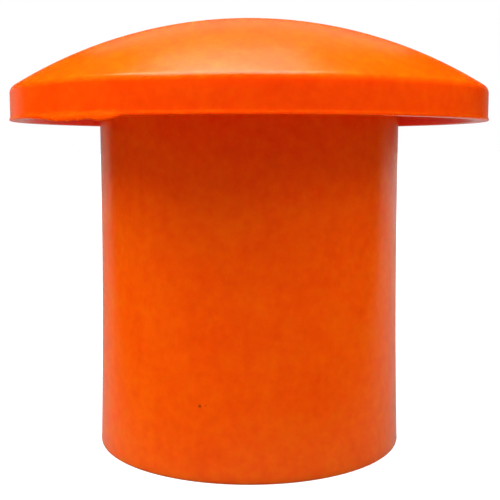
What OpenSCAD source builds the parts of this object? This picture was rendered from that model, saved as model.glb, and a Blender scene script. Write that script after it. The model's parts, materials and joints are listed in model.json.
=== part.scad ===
// Mushroom-shaped safety cap that pushes onto the end of a reinforcing bar.
// Origin: centre of the stem's mouth, on the plane of its rim. +Z runs up the stem to the crown.

/* [Head] */
// Diameter over the brim
head_d = 54; // [51:0.5:58]
// Height of the upright band round the brim
band_h = 3.5; // [3.3:0.1:4.5]
// Rise of the dome above the band
dome_rise = 8; // [7:0.25:9.5]
// Wall of the dome, and of the band where it meets the dome
head_wall = 2; // [1.8:0.1:2.2]
// Wall of the band at its lower edge, to which it tapers on the inside
brim_edge_wall = 1.4; // [1:0.1:1.8]
// Radius of the rounded shoulder between the dome and the band
shoulder_r = 1; // [0.6:0.1:1.2]
// Radius of the band's lower outer edge
brim_edge_r = 0.2; // [0.15:0.05:0.5]
// Diameter of the flat mark that the moulding gate leaves on the crown
gate_d = 3.2; // [2:0.2:5]
// Height of the gate mark above the crown
gate_h = 0.1; // [0.05:0.05:0.3]

/* [Stem] */
// Length of the stem from its mouth to the brim's lower edge
stem_len = 37.2; // [34:0.2:42]
// Outer diameter at the mouth
mouth_d = 35.3; // [34.9:0.1:36]
// Outer diameter at half length
waist_d = 34.5; // [34.2:0.1:34.8]
// Outer diameter at the neck, level with the brim's lower edge
neck_d = 34.4; // [34.2:0.1:34.8]
// Diameter of the bore that holds the grip fins
bore_d = 31; // [30.6:0.1:31.2]
// Diameter of the clear lead-in at the mouth
lead_in_d = 31.6; // [31.4:0.1:31.8]
// Depth of the lead-in
lead_in_depth = 3; // [2:0.5:4]
// Radius of the mouth's outer edge
mouth_edge_r = 0.3; // [0.2:0.05:0.5]

/* [Grip fins] */
// Number of fins round the bore
fin_count = 6; // [4:1:6]
// Thickness of a fin at its root
fin_t = 0.8; // [0.7:0.05:0.9]
// Thickness of a fin at its tip
fin_tip_t = 0.6; // [0.5:0.05:0.65]
// Width of a fin from its hinge line to its tip
fin_w = 11.4; // [10:0.2:11.6]
// Angle by which each fin leans off the radius
fin_lean = 12; // [8:1:16]
// Height of the fins' lower ends above the mouth
fin_bottom = 4; // [3.5:0.5:6]
// Height of the fins' upper ends above the mouth
fin_top = 36; // [30:1:38]
// Width and height of the slope that leads a bar in between the fins
fin_slope = 4; // [2:0.5:5]
// Gap between a fin's rounded root and the bore's wall
fin_gap = 0.1; // [0.08:0.01:0.15]

/* [Hidden] */

$fn = 96;
ORANGE = [0.96, 0.34, 0.02];
// Steps along the stem's curved outside.
PROFILE_STEPS = 16;
// How far a cut reaches past the face that it opens.
OVERCUT = 1;
// Facets of the large dome circles and of the small fin circles.
DOME_FN = 240;
FIN_FN = 48;
// How far under the corner inside the head the skirt takes over.
CORNER_DROP = 0.3;

head_r = head_d / 2;
band_top = stem_len + band_h;
crown_top = band_top + dome_rise;
// The dome is a sphere through the band's top edge and the crown.
dome_r = (head_r * head_r + dome_rise * dome_rise) / (2 * dome_rise);
dome_centre = crown_top - dome_r;
dome_inner_r = dome_r - head_wall;
skirt_inner_r = head_r - head_wall;
// The head and the skirt meet on this level.
split_z = dome_centre + sqrt(pow(dome_inner_r, 2) - pow(skirt_inner_r, 2)) - CORNER_DROP;
// The shoulder's arc touches the dome from inside and the band's outer face.
shoulder_x = head_r - shoulder_r;
shoulder_z = dome_centre + sqrt(pow(dome_r - shoulder_r, 2) - pow(shoulder_x, 2));
fin_hinge_r = bore_d / 2 - fin_gap - fin_t / 2;

function fin_name(i) = str("grip_fin_", i);

// Outer radius of the stem at a height given as a fraction t of stem_len.
// It is a parabola through the diameters at mouth, waist and neck.
function stem_r(t) =
    mouth_d / 2 * (1 - t) * (1 - 2 * t)
    + waist_d / 2 * 4 * t * (1 - t)
    + neck_d / 2 * t * (2 * t - 1);

// Half section of the dome's outside down to split_z, with the rounded shoulder.
module head_outline() {
    intersection() {
        translate([0, dome_centre]) circle(dome_r, $fn = DOME_FN);
        translate([0, split_z]) square([shoulder_x * dome_r / (dome_r - shoulder_r), crown_top]);
    }
    intersection() {
        translate([shoulder_x, shoulder_z]) circle(shoulder_r);
        translate([0, shoulder_z]) square([head_r, shoulder_r]);
    }
    translate([0, split_z]) square([head_r, shoulder_z - split_z]);
}

module domed_head() {
    color(ORANGE) rotate_extrude() {
        difference() {
            head_outline();
            translate([0, dome_centre]) circle(dome_inner_r, $fn = DOME_FN);
            translate([-OVERCUT, split_z - OVERCUT]) square([skirt_inner_r + OVERCUT, OVERCUT + CORNER_DROP]);
        }
        translate([0, crown_top - head_wall / 2]) square([gate_d / 2, head_wall / 2 + gate_h]);
    }
}

module brim_skirt() {
    color(ORANGE) rotate_extrude() {
        polygon([
            [skirt_inner_r, split_z],
            [head_r - brim_edge_wall, stem_len],
            [head_r - brim_edge_r, stem_len],
            [head_r, stem_len + brim_edge_r],
            [head_r, split_z]
        ]);
        translate([head_r - brim_edge_r, stem_len + brim_edge_r]) circle(brim_edge_r);
    }
}

module stem_sleeve() {
    outline = concat(
        [[bore_d / 2, lead_in_depth], [lead_in_d / 2, lead_in_depth], [lead_in_d / 2, 0]],
        [for (a = [0 : 15 : 90]) [
            mouth_d / 2 - mouth_edge_r * (1 - sin(a)),
            mouth_edge_r * (1 - cos(a))
        ]],
        [for (i = [1 : PROFILE_STEPS]) [stem_r(i / PROFILE_STEPS), stem_len * i / PROFILE_STEPS]],
        [[neck_d / 2, crown_top], [bore_d / 2, crown_top]]
    );
    color(ORANGE) rotate_extrude() intersection() {
        polygon(outline);
        translate([0, dome_centre]) circle(dome_inner_r, $fn = DOME_FN);
    }
}

// Plan of one fin along +X: its rounded root stands on the origin and its tip points to -X.
module fin_plan() {
    tip = fin_w - fin_tip_t / 2;
    circle(d = fin_t, $fn = FIN_FN);
    polygon([[0, -fin_t / 2], [0, fin_t / 2], [-tip, fin_tip_t / 2], [-tip, -fin_tip_t / 2]]);
    translate([-tip, 0]) circle(d = fin_tip_t, $fn = FIN_FN);
}

// Side view of one fin, with the slope cut off its lower inner corner.
module fin_side() {
    past_tip = -fin_w - OVERCUT;
    polygon([
        [fin_t, fin_bottom],
        [fin_slope - fin_w, fin_bottom],
        [past_tip, fin_bottom + fin_slope + OVERCUT],
        [past_tip, fin_top],
        [fin_t, fin_top]
    ]);
}

module grip_fin(i) {
    color(ORANGE)
        rotate([0, 0, 360 / fin_count * (i - 1)])
        translate([fin_hinge_r, 0, 0])
        rotate([0, 0, -fin_lean])
        intersection() {
            linear_extrude(fin_top) fin_plan();
            rotate([90, 0, 0]) translate([0, 0, -fin_t]) linear_extrude(2 * fin_t) fin_side();
        }
}

domed_head();
brim_skirt();
stem_sleeve();
for (i = [1 : fin_count])
    grip_fin(i);
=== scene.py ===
import json
import math

import bmesh
import bpy
from mathutils import Matrix, Vector, noise


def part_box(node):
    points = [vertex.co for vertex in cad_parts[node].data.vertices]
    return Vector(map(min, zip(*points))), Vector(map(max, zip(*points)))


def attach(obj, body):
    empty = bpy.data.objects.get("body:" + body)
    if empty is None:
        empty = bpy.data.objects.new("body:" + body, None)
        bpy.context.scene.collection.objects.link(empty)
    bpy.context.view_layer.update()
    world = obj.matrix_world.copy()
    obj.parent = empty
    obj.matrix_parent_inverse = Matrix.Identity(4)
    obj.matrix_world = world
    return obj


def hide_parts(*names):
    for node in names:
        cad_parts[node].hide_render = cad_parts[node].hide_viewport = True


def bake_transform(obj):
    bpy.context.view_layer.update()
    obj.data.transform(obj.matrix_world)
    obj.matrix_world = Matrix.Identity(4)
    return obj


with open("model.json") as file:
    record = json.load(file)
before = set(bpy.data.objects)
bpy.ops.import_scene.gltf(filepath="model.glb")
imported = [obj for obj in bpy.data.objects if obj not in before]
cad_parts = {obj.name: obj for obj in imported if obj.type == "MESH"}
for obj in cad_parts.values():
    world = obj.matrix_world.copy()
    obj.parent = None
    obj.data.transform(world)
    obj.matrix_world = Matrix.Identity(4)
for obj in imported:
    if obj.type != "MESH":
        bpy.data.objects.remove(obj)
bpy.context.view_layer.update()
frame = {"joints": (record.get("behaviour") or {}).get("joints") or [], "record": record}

MM = 0.001

# ---------------------------------------------------------------- sizes

# Read from the frame.
head_low, head_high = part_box("domed_head")
fin_low, fin_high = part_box("grip_fin_1")
head_r = head_high[0]
split_z = head_low[2]
brim_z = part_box("brim_skirt")[0][2]
mouth_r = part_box("stem_sleeve")[1][0]
mounts = {mount["name"]: mount for mount in frame["record"]["mounts"]}
lead_in_r = mounts["sleeve_mouth"]["dims"]["r_mm"] * MM
lead_in_depth = mounts["sleeve_mouth"]["dims"]["length_mm"] * MM
hinges = [Vector(joint["pos_m"]) for joint in frame["joints"]]
hinge_r = hinges[0].xy.length
fin_bottom, fin_top = fin_low[2], fin_high[2]

# What the frame's boxes don't give, as it is in the design.
GATE_H = 0.1 * MM
GATE_R = 1.6 * MM
BAND_H = 3.5 * MM
WALL = 2 * MM
SHOULDER_R = 1 * MM
BRIM_EDGE_WALL = 1.4 * MM
WAIST_R = 17.25 * MM
NECK_R = 17.2 * MM
BORE_R = 15.5 * MM
MOUTH_EDGE_R = 0.3 * MM
FIN_T = 0.8 * MM
FIN_TIP_T = 0.6 * MM
FIN_W = 11.4 * MM
FIN_LEAN = math.radians(12)
FIN_SLOPE = 4 * MM

crown_z = head_high[2] - GATE_H
band_top = brim_z + BAND_H
dome_rise = crown_z - band_top
dome_r = (head_r ** 2 + dome_rise ** 2) / (2 * dome_rise)
dome_centre = crown_z - dome_r
inner_r = dome_r - WALL
skirt_inner_r = head_r - WALL

# What only this script adds: the height of the flared lip, and the radius of the small inner edges.
LIP_H = 0.45 * MM
INNER_EDGE_R = 0.2 * MM

# Steps round the stem, and round the head, whose ragged lip needs finer ones.
STEM_TURNS = 288
HEAD_TURNS = 720


# ---------------------------------------------------------------- outlines and meshes

def arc(centre, radius, start, end, steps):
    """Points (r, z) on an arc, angles in degrees from +r towards +z."""
    angles = [math.radians(start + (end - start) * i / steps) for i in range(steps + 1)]
    return [(centre[0] + radius * math.cos(a), centre[1] + radius * math.sin(a)) for a in angles]


def line(start, end, steps):
    """Points on a straight stretch, without its first point."""
    return [(start[0] + (end[0] - start[0]) * i / steps, start[1] + (end[1] - start[1]) * i / steps)
            for i in range(1, steps + 1)]


def new_object(name, mesh):
    piece = bpy.data.objects.new(name, mesh)
    bpy.context.scene.collection.objects.link(piece)
    return piece


def finish_mesh(bm, name, sharp=50):
    """Turns a bmesh into a smooth-shaded object whose edges over sharp degrees stay sharp."""
    bmesh.ops.remove_doubles(bm, verts=bm.verts, dist=1e-7)
    bmesh.ops.recalc_face_normals(bm, faces=bm.faces)
    mesh = bpy.data.meshes.new(name)
    bm.to_mesh(mesh)
    bm.free()
    mesh.shade_smooth()
    mesh.set_sharp_from_angle(angle=math.radians(sharp))
    return new_object(name, mesh)


def revolve(name, outline, turns):
    """A closed outline (r, z) turned round the Z axis. Points on the axis become one vertex."""
    bm = bmesh.new()
    angles = [math.tau * i / turns for i in range(turns)]
    rings = []
    for r, z in outline:
        if r < 1e-7:
            rings.append([bm.verts.new((0, 0, z))])
        else:
            rings.append([bm.verts.new((r * math.cos(a), r * math.sin(a), z)) for a in angles])
    for a, b in zip(rings, rings[1:] + rings[:1]):
        if len(a) == 1 and len(b) == 1:
            continue
        for i in range(turns):
            j = (i + 1) % turns
            corners = [a[i % len(a)], a[j % len(a)], b[j % len(b)], b[i % len(b)]]
            bm.faces.new(list(dict.fromkeys(corners)))
    return finish_mesh(bm, name)


def smooth(t):
    """Rises gently from 0 to 1 while t goes from 0 to 1."""
    t = min(1, max(0, t))
    return t * t * (3 - 2 * t)


def stem_r(t):
    """Outer radius at t times the stem's length: a parabola through the mouth, waist and neck radii."""
    return 2 * mouth_r * (1 - t) * (0.5 - t) + 4 * WAIST_R * t * (1 - t) + 2 * NECK_R * t * (t - 0.5)


def inner_dome_z(r):
    """Height of the dome's underside at a distance r from the axis."""
    return dome_centre + math.sqrt(inner_r ** 2 - r ** 2)


# ---------------------------------------------------------------- pieces

def head_shell():
    """Dome, shoulder, brim and the inside of the brim in one skin. The lower edge flares out a little."""
    fillet_x = head_r - SHOULDER_R
    fillet_z = dome_centre + math.sqrt((dome_r - SHOULDER_R) ** 2 - fillet_x ** 2)
    fillet_start = math.degrees(math.atan2(fillet_z - dome_centre, fillet_x))
    gate_edge = 0.06 * MM
    gate_top = head_high[2]
    gate_foot = math.degrees(math.acos((GATE_R + GATE_H) / dome_r))
    outline = [(0, gate_top), (GATE_R / 2, gate_top)]
    outline += arc((GATE_R - gate_edge, gate_top - gate_edge), gate_edge, 90, 0, 4)
    outline += arc((0, dome_centre), dome_r, gate_foot, fillet_start, 96)
    outline += arc((fillet_x, fillet_z), SHOULDER_R, fillet_start, 0, 16)[1:]

    # The band, its flared lip and the flat lower edge.
    flare = 0.10 * MM
    flare_top = brim_z + LIP_H
    lip_r = 0.12 * MM
    lip_x = head_r + flare - lip_r
    outline += line((head_r, fillet_z), (head_r, flare_top), 10)
    for i in range(1, 8):
        t = i / 7
        outline.append((head_r + flare * smooth(t), flare_top + (brim_z + lip_r - flare_top) * t))
    outline += arc((lip_x, brim_z + lip_r), lip_r, 0, -90, 6)[1:]
    edge_x = head_r - BRIM_EDGE_WALL
    outline += line((lip_x, brim_z), (edge_x + INNER_EDGE_R, brim_z), 5)[:-1]

    # The tapered inner wall and the corner that joins it to the inside of the dome.
    # The corner's centre lies on a line beside the wall, where it is its own radius away from the dome.
    up_wall = Vector((skirt_inner_r - edge_x, split_z - brim_z)).normalized()
    inward = Vector((-up_wall.y, up_wall.x))
    corner_r = 1.2 * MM
    foot = Vector((edge_x, brim_z - dome_centre)) + inward * corner_r
    along = foot.dot(up_wall)
    climb = math.sqrt(along ** 2 - foot.length_squared + (inner_r - corner_r) ** 2) - along
    corner_mid = foot + up_wall * climb
    corner_start = math.degrees(math.atan2(-inward.y, -inward.x))
    corner_end = math.degrees(math.atan2(corner_mid.y, corner_mid.x))
    corner_arc = arc((corner_mid.x, corner_mid.y + dome_centre), corner_r, corner_start, corner_end, 12)
    edge_mid = (edge_x + 0.65 * INNER_EDGE_R, brim_z + INNER_EDGE_R)
    edge_arc = arc(edge_mid, INNER_EDGE_R, -90, corner_start - 180, 6)
    outline += edge_arc + line(edge_arc[-1], corner_arc[0], 10) + corner_arc[1:]
    outline += arc((0, dome_centre), inner_r, corner_end, 90, 72)[1:]
    return revolve("head_shell", outline, HEAD_TURNS)


def ragged_lip(piece, start, end, lip, drop, seed):
    """Flash from the mould: pulls the brim's lower outer edge out by lip and down by drop, unevenly.

    start and end are angles in degrees from the front, positive to the right."""
    rise, fall = 0.13, 0.5
    for vertex in piece.data.vertices:
        x, y, z = vertex.co
        r = math.hypot(x, y)
        t = (math.degrees(math.atan2(x, -y)) - start) / (end - start)
        share = smooth((r - head_r + LIP_H) / LIP_H)
        if share == 0 or z > brim_z + LIP_H or not 0 < t < 1:
            continue
        below = (brim_z + LIP_H - z) / LIP_H
        coarse = noise.noise(Vector((t * 6, seed, 0.0)))
        fine = noise.noise(Vector((t * 40, seed, 5.0)))
        share *= smooth(t / rise) * smooth((1 - t) / fall) * (0.85 + 0.3 * coarse + 0.45 * max(fine, -0.3))
        out = lip * share * smooth(2 * below)
        vertex.co.x += out * x / r
        vertex.co.y += out * y / r
        vertex.co.z -= drop * share * smooth(below)


def sleeve_shell():
    """The stem, outside and inside, with fillets where it runs into the dome."""
    fillet = 0.8 * MM
    step_edge = 0.1 * MM
    height_steps = 48
    outline = arc((lead_in_r + INNER_EDGE_R, INNER_EDGE_R), INNER_EDGE_R, 180, 270, 5)
    outline += arc((mouth_r - MOUTH_EDGE_R, MOUTH_EDGE_R), MOUTH_EDGE_R, -90, 0, 8)
    outline += [(stem_r(i / height_steps), brim_z * i / height_steps) for i in range(1, height_steps + 1)]

    # Up the neck, and out through its fillet on to the underside of the dome.
    fillet_z = inner_dome_z(NECK_R) - 1.35 * fillet
    outline += line((NECK_R, brim_z), (NECK_R, fillet_z), 6)
    neck_arc = arc((NECK_R + fillet, fillet_z), fillet, 170, 110, 6)
    foot_r = neck_arc[-1][0]
    outline += neck_arc[:-1] + [(foot_r, inner_dome_z(foot_r))]

    # Back in along the dome, inside its skin, and down the bore.
    bore_foot_r = BORE_R - 0.4 * fillet
    neck_angle = math.degrees(math.acos(foot_r / inner_r))
    bore_angle = math.degrees(math.acos(bore_foot_r / inner_r))
    outline += arc((0, dome_centre), inner_r, neck_angle, bore_angle, 6)[1:]
    bore_top = inner_dome_z(BORE_R)
    outline += [(BORE_R - 0.12 * fillet, bore_top - 0.35 * fillet), (BORE_R, bore_top - fillet)]
    outline += line((BORE_R, bore_top - fillet), (BORE_R, lead_in_depth + step_edge), 60)
    outline += arc((BORE_R + step_edge, lead_in_depth + step_edge), step_edge, 180, 270, 4)[1:]
    outline += line((lead_in_r, lead_in_depth), (lead_in_r, INNER_EDGE_R), 4)[:-1]
    return revolve("sleeve_shell", outline, STEM_TURNS)


def fin_piece(index):
    """One grip fin, its root filleted into the bore's wall, standing at its own hinge line."""
    root = 0.6 * MM
    into_wall = 0.05 * MM
    soft_edge = 0.15 * MM
    tip_flat = 0.005 * MM
    reach = BORE_R - hinge_r + into_wall
    columns, rows = 40, 64
    bm = bmesh.new()

    def half_thickness(s):
        """Half the fin's thickness at a distance s from its hinge line, towards its tip."""
        base = FIN_T / 2 + (FIN_TIP_T - FIN_T) / 2 * max(s, 0) / FIN_W
        from_wall = s + BORE_R - hinge_r
        if from_wall < root:
            base += root - math.sqrt(max(root ** 2 - (root - max(from_wall, 0)) ** 2, 0))
        to_tip = FIN_W - s
        if to_tip < FIN_TIP_T / 2:
            base *= math.sqrt(max(1 - (1 - to_tip / (FIN_TIP_T / 2)) ** 2, 0))
        return base

    def spread(u):
        """Columns crowd together at the filleted root and at the rounded tip."""
        eased = (1 - math.cos(math.pi * u)) / 2
        return -reach + (FIN_W + reach) * (0.35 * u + 0.65 * eased)

    sides = []
    for side in (1, -1):
        grid = []
        for c in range(columns + 1):
            s = min(spread(c / columns), FIN_W - tip_flat)
            low = fin_bottom + max(0, s - (FIN_W - FIN_SLOPE))
            column = []
            for r in range(rows + 1):
                z = low + (fin_top - low) * r / rows
                edge = min(z - low, fin_top - z)
                near_edge = max(0, 1 - edge / soft_edge)
                pull = 0.8 * soft_edge * (1 - math.sqrt(1 - near_edge ** 2))
                column.append(bm.verts.new((-s, side * (half_thickness(s) - pull), z)))
            grid.append(column)
        sides.append(grid)
    front, back = sides
    for c in range(columns):
        for r in range(rows):
            bm.faces.new((front[c][r], front[c + 1][r], front[c + 1][r + 1], front[c][r + 1]))
            bm.faces.new((back[c][r], back[c][r + 1], back[c + 1][r + 1], back[c + 1][r]))
        for r in (0, rows):
            bm.faces.new((front[c][r], front[c + 1][r], back[c + 1][r], back[c][r]))
    for c in (0, columns):
        for r in range(rows):
            bm.faces.new((front[c][r], front[c][r + 1], back[c][r + 1], back[c][r]))
    hinge = hinges[index]
    turn = Matrix.Rotation(math.atan2(hinge.y, hinge.x) - FIN_LEAN, 4, "Z")
    bmesh.ops.transform(bm, matrix=Matrix.Translation((hinge.x, hinge.y, 0)) @ turn, verts=bm.verts)
    return finish_mesh(bm, f"fin_{index + 1}", 40)


# ---------------------------------------------------------------- materials

class Nodes:
    """Short forms for adding and joining the shader nodes of a material or a world."""

    def __init__(self, owner):
        owner.use_nodes = True
        self.owner = owner
        self.tree = owner.node_tree
        self.tree.nodes.clear()

    def add(self, kind, **values):
        node = self.tree.nodes.new(kind)
        for key, value in values.items():
            setattr(node, key, value)
        return node

    def feed(self, node, socket, value):
        target = node.inputs[socket]
        if isinstance(value, bpy.types.NodeSocket):
            self.tree.links.new(value, target)
        else:
            target.default_value = value

    def math(self, operation, a, b=0.0):
        node = self.add("ShaderNodeMath", operation=operation)
        self.feed(node, 0, a)
        self.feed(node, 1, b)
        return node.outputs[0]

    def scaled(self, vector, scale):
        node = self.add("ShaderNodeVectorMath", operation="MULTIPLY")
        self.feed(node, 0, vector)
        self.feed(node, 1, scale)
        return node.outputs[0]

    def split(self, vector):
        node = self.add("ShaderNodeSeparateXYZ")
        self.feed(node, 0, vector)
        return node.outputs

    def noise(self, vector, scale, detail=3.0, roughness=0.5, distortion=0.0):
        node = self.add("ShaderNodeTexNoise")
        for socket, value in (("Vector", vector), ("Scale", scale), ("Detail", detail),
                              ("Roughness", roughness), ("Distortion", distortion)):
            self.feed(node, socket, value)
        return node.outputs["Fac"]

    def remap(self, value, low, high, to_low, to_high):
        node = self.add("ShaderNodeMapRange", clamp=True)
        for socket, number in (("Value", value), ("From Min", low), ("From Max", high),
                               ("To Min", to_low), ("To Max", to_high)):
            self.feed(node, socket, number)
        return node.outputs["Result"]

    def mix(self, factor, a, b, blend="MIX"):
        node = self.add("ShaderNodeMix", data_type="RGBA", blend_type=blend)
        self.feed(node, 0, factor)
        self.feed(node, 6, a)
        self.feed(node, 7, b)
        return node.outputs[2]

    def bump(self, height, distance, strength=1.0, normal=None):
        node = self.add("ShaderNodeBump")
        self.feed(node, "Height", height)
        self.feed(node, "Distance", distance)
        self.feed(node, "Strength", strength)
        if normal is not None:
            self.feed(node, "Normal", normal)
        return node.outputs["Normal"]


DEEP = (0.88, 0.115, 0.001, 1)
MIDDLE = (0.93, 0.135, 0.0012, 1)
LIGHT = (0.97, 0.158, 0.0015, 1)
SPECK = (0.05, 0.008, 0.002, 1)

# Painted shade: a redder tint on the band stands in for the dimmer, redder light that reaches it. The
# plastic itself is one colour.
BAND_PAINTED_SHADE = (0.98, 0.76, 0.8, 1)

# Dark specks in the stem's front: place, radius and how dark each one is.
SPECKS = (
    (Vector((-5.03, -16.6, 8.05)) * MM, 0.22 * MM, 0.8),
    (Vector((-4.45, -16.8, 8.15)) * MM, 0.16 * MM, 0.35))


def orange_plastic(name, flow, smoothest=0.18, roughest=0.265, specks=(), painted_shade_below=None):
    """Moulded polyethylene. flow says which way the plastic ran, radial or up.

    painted_shade_below is the height under which the colour takes the band's painted shade, a redder tint."""
    n = Nodes(bpy.data.materials.new(name))
    place = n.add("ShaderNodeTexCoord").outputs["Object"]
    if flow == "radial":
        flat = n.scaled(place, (1, 1, 0))
        direction = n.add("ShaderNodeVectorMath", operation="NORMALIZE")
        n.feed(direction, 0, flat)
        spokes = n.add("ShaderNodeVectorMath", operation="ADD")
        n.feed(spokes, 0, n.scaled(direction.outputs[0], (9, 9, 9)))
        n.feed(spokes, 1, n.scaled(place, (60, 60, 60)))
        streaks = n.noise(spokes.outputs[0], 1.0, 4.0, 0.55, 0.6)
    else:
        streaks = n.noise(n.scaled(place, (1, 1, 0.22)), 260.0, 4.0, 0.55, 0.8)
    clouds = n.noise(place, 150.0, 4.0, 0.6, 0.5)
    mottle = n.noise(place, 900.0, 3.0, 0.6)
    tone = n.math("ADD", n.math("MULTIPLY", clouds, 0.4), n.math("MULTIPLY", streaks, 0.15))
    tone = n.math("ADD", tone, n.math("MULTIPLY", mottle, 0.45))
    colour = n.mix(n.remap(tone, 0.36, 0.50, 0.0, 1.0), DEEP, MIDDLE)
    colour = n.mix(n.remap(tone, 0.50, 0.64, 0.0, 1.0), colour, LIGHT)
    # Painted shade: under this height the colour is tinted redder, for the dimmer, redder light on the
    # band.
    if painted_shade_below:
        height = n.split(place)["Z"]
        band_shade_mask = n.remap(height, painted_shade_below - 0.5 * MM, painted_shade_below + 0.2 * MM, 1.0, 0.0)
        colour = n.mix(band_shade_mask, colour, BAND_PAINTED_SHADE, "MULTIPLY")
    for spot, size, darkness in specks:
        away = n.add("ShaderNodeVectorMath", operation="DISTANCE")
        n.feed(away, 0, place)
        n.feed(away, 1, spot)
        colour = n.mix(n.remap(away.outputs["Value"], 0.4 * size, size, darkness, 0.0), colour, SPECK)
    smears = n.noise(place, 220.0, 5.0, 0.65, 1.2)
    roughness = n.remap(smears, 0.3, 0.7, smoothest, roughest)
    peel = n.noise(place, 1500.0, 2.0, 0.5)
    grain = n.noise(place, 7000.0, 2.0, 0.6)
    waves = n.noise(place, 260.0, 1.0, 0.4)
    normal = n.bump(waves, 0.05 * MM, 0.8)
    normal = n.bump(peel, 0.018 * MM, 1.0, normal)
    normal = n.bump(grain, 0.0025 * MM, 1.0, normal)
    shader = n.add("ShaderNodeBsdfPrincipled")
    n.feed(shader, "Base Color", colour)
    n.feed(shader, "Roughness", roughness)
    n.feed(shader, "Normal", normal)
    n.feed(shader, "IOR", 1.51)
    n.feed(shader, "Subsurface Weight", 0.9)
    n.feed(shader, "Subsurface Radius", (1.0, 0.22, 0.05))
    n.feed(shader, "Subsurface Scale", 1.2 * MM)
    output = n.add("ShaderNodeOutputMaterial")
    n.feed(output, "Surface", shader.outputs["BSDF"])
    return n.owner


# ---------------------------------------------------------------- the object

def fit(piece, body, material, *nodes):
    """Gives a piece its finish and, when one is named, its body, and hides the CAD nodes that it stands
    for.
    """
    piece.data.materials.append(material)
    if nodes:
        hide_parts(*nodes)
    if body:
        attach(piece, body)


# The head's colour carries the band's painted shade, a redder tint under the band's top.
head_plastic = orange_plastic("orange_plastic_head", "radial", 0.22, 0.268, painted_shade_below=band_top)
sleeve_plastic = orange_plastic("orange_plastic_sleeve", "up", specks=SPECKS)
fin_plastic = orange_plastic("orange_plastic_fins", "up")

head = head_shell()
ragged_lip(head, start=-24.5, end=-57, lip=0.22 * MM, drop=0.46 * MM, seed=3.7)
fit(head, "cap", head_plastic, "domed_head", "brim_skirt")
fit(sleeve_shell(), "cap", sleeve_plastic, "stem_sleeve")
for index, hinge in enumerate(hinges):
    fin = fin_piece(index)
    fit(fin, None, fin_plastic, f"grip_fin_{index + 1}")
    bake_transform(fin)


# ---------------------------------------------------------------- stage, light and camera

# Soft light from all round, and the white that the camera sees behind the cap.
ROOM = 0.50
BACKGROUND = 1.0
# How bright the low haze and the floor look where the cap mirrors them.
HAZE = 0.33
FLOOR_SHINE = 0.42
# How bright the floor itself looks to the camera, near the cap and far away.
FLOOR_GLOW = 1.66
FAR_GLOW = 2.1


def grey(level):
    return (level, level, level, 1)


def floor_shine(n, place):
    """What the cap mirrors of the floor: bright behind the cap, dark in front of two slanting edges."""
    edge_slope, edge_skew = 0.70, -0.15
    edge_dark, edge_bright = -0.058, -0.022
    spot = n.split(place)
    x, y = spot["X"], spot["Y"]
    shine = n.remap(x, -0.08, 0.08, 0.85 * FLOOR_SHINE, 1.15 * FLOOR_SHINE)
    edge = n.math("MULTIPLY", n.math("ABSOLUTE", x), edge_slope)
    edge = n.math("ADD", edge, n.math("MULTIPLY", x, edge_skew))
    behind_edge = n.remap(n.math("SUBTRACT", y, edge), edge_dark, edge_bright, 0.05, 1.0)
    far_off = n.remap(y, 0.10, 0.40, 1.0, 1.3)
    return n.math("MULTIPLY", n.math("MULTIPLY", shine, behind_edge), far_off)


def make_floor():
    """A pale floor: near white to the camera, and duller in the light that it gives back to the cap."""
    bm = bmesh.new()
    bmesh.ops.create_grid(bm, x_segments=2, y_segments=2, size=6)
    floor = finish_mesh(bm, "floor")
    n = Nodes(bpy.data.materials.new("pale_floor"))
    place = n.add("ShaderNodeTexCoord").outputs["Object"]
    rays = n.add("ShaderNodeLightPath").outputs
    seen, mirrored = rays["Is Camera Ray"], rays["Is Glossy Ray"]
    tone = n.remap(n.noise(place, 40.0), 0.3, 0.7, 0.0, 1.0)
    pale = n.mix(tone, grey(0.78), grey(0.82))
    diffuse = n.add("ShaderNodeBsdfDiffuse")
    n.feed(diffuse, "Color", n.mix(seen, grey(0.35), pale))
    away = n.add("ShaderNodeVectorMath", operation="LENGTH")
    n.feed(away, 0, place)
    white = n.math("MULTIPLY", seen, n.remap(away.outputs["Value"], 0.05, 0.40, FLOOR_GLOW, FAR_GLOW))
    shine = n.math("MULTIPLY", mirrored, floor_shine(n, place))
    glow = n.add("ShaderNodeEmission")
    n.feed(glow, "Strength", n.math("ADD", white, shine))
    blend = n.add("ShaderNodeMixShader")
    n.feed(blend, 0, n.math("ADD", n.math("MULTIPLY", seen, 0.5), mirrored))
    n.feed(blend, 1, diffuse.outputs[0])
    n.feed(blend, 2, glow.outputs[0])
    output = n.add("ShaderNodeOutputMaterial")
    n.feed(output, "Surface", blend.outputs[0])
    floor.data.materials.append(n.owner)


def make_world():
    """White behind the cap, a dimmer white all round for soft light, and only a low haze in its shine."""
    world = bpy.data.worlds.new("studio")
    bpy.context.scene.world = world
    n = Nodes(world)
    way = n.split(n.add("ShaderNodeTexCoord").outputs["Generated"])
    height = n.remap(way["Z"], 0.10, 0.28, HAZE, 0.0)
    behind = n.remap(way["Y"], 0.56, 0.76, 0.0, 1.0)
    not_right = n.remap(way["X"], 0.40, 0.65, 1.0, 0.0)
    haze = n.math("MULTIPLY", n.math("MULTIPLY", height, behind), not_right)
    rays = n.add("ShaderNodeLightPath").outputs
    strength = n.mix(rays["Is Glossy Ray"], grey(ROOM), haze)
    strength = n.mix(rays["Is Camera Ray"], strength, grey(BACKGROUND))
    background = n.add("ShaderNodeBackground")
    n.feed(background, "Color", strength)
    output = n.add("ShaderNodeOutputWorld")
    n.feed(output, "Surface", background.outputs[0])


def make_camera():
    """The viewpoint in front of the cap, a little below the brim, tilted slightly down."""
    data = bpy.data.cameras.new("camera")
    data.sensor_width = 36
    data.lens = 65.5
    data.clip_start = 0.005
    distance, height = 3.9724 * head_r, 1.2666 * head_r
    tilt, turn = 0.111, -0.00085
    camera = bpy.data.objects.new("camera", data)
    camera.location = (0, -distance, height)
    camera.rotation_euler = (math.pi / 2 - tilt, 0, turn)
    bpy.context.scene.collection.objects.link(camera)
    bpy.context.scene.camera = camera


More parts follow.
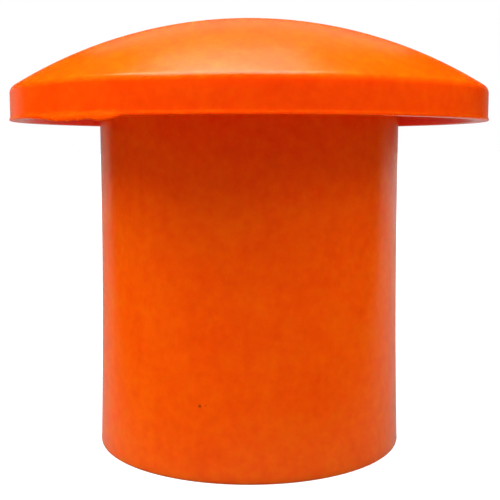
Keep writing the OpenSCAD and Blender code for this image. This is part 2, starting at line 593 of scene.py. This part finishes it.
def panel(name, azimuth, elevation, size, brightness, mirrored):
    """A soft box that faces the brim's centre. A mirrored one only shows in the cap's shine, and the
    others only light it.

    azimuth 0 is towards the camera and positive to its right, in degrees. brightness is what the panel
    adds to a white card that faces it, 1 being white."""
    distance = 0.4
    centre = Vector((0, 0, brim_z))
    a, e = math.radians(azimuth), math.radians(elevation)
    toward = Vector((math.sin(a) * math.cos(e), -math.cos(a) * math.cos(e), math.sin(e)))
    lamp = bpy.data.lights.new(name, "AREA")
    lamp.shape = "RECTANGLE"
    lamp.size, lamp.size_y = size
    lamp.energy = brightness * math.pi ** 2 * distance ** 2
    light = bpy.data.objects.new(name, lamp)
    light.location = centre + distance * toward
    light.rotation_euler = toward.to_track_quat("Z", "Y").to_euler()
    light.visible_camera = False
    light.visible_diffuse = not mirrored
    light.visible_glossy = mirrored
    bpy.context.scene.collection.objects.link(light)


make_floor()
make_world()
make_camera()
soft_size = (0.25, 0.22)
panel("overhead", 0, 88, soft_size, 0.58, mirrored=False)
panel("high_behind", 180, 60, soft_size, 0.17, mirrored=False)
panel("high_left", -60, 66, soft_size, 0.39, mirrored=False)
panel("high_right", 60, 66, soft_size, 0.19, mirrored=False)
panel("left", -75, 40, soft_size, 0.76, mirrored=False)
panel("right", 50, 40, soft_size, 0.46, mirrored=False)
# The first draws the bright line along the shoulder, the others the soft highlight above it.
panel("mirrored_above", -90, 83, (0.38, 0.36), 1.0, mirrored=True)
panel("mirrored_behind_high", 186, 57, (0.17, 0.09), 0.031, mirrored=True)
panel("mirrored_behind", 180, 41, (0.22, 0.09), 0.007, mirrored=True)
panel("mirrored_behind_low", 180, 27, (0.26, 0.08), 0.015, mirrored=True)

# A film-like toe: dark tones fall away a little faster than they do in linear light.
TOE = 0.05
view = bpy.context.scene.view_settings
view.view_transform = "Standard"
view.use_curve_mapping = True
tones = view.curve_mapping.curves[3]
for x in (0.02, 0.05, 0.1, 0.2, 0.4, 0.7):
    tones.points.new(x, x * x / (x + TOE) * (1 + TOE))
view.curve_mapping.update()
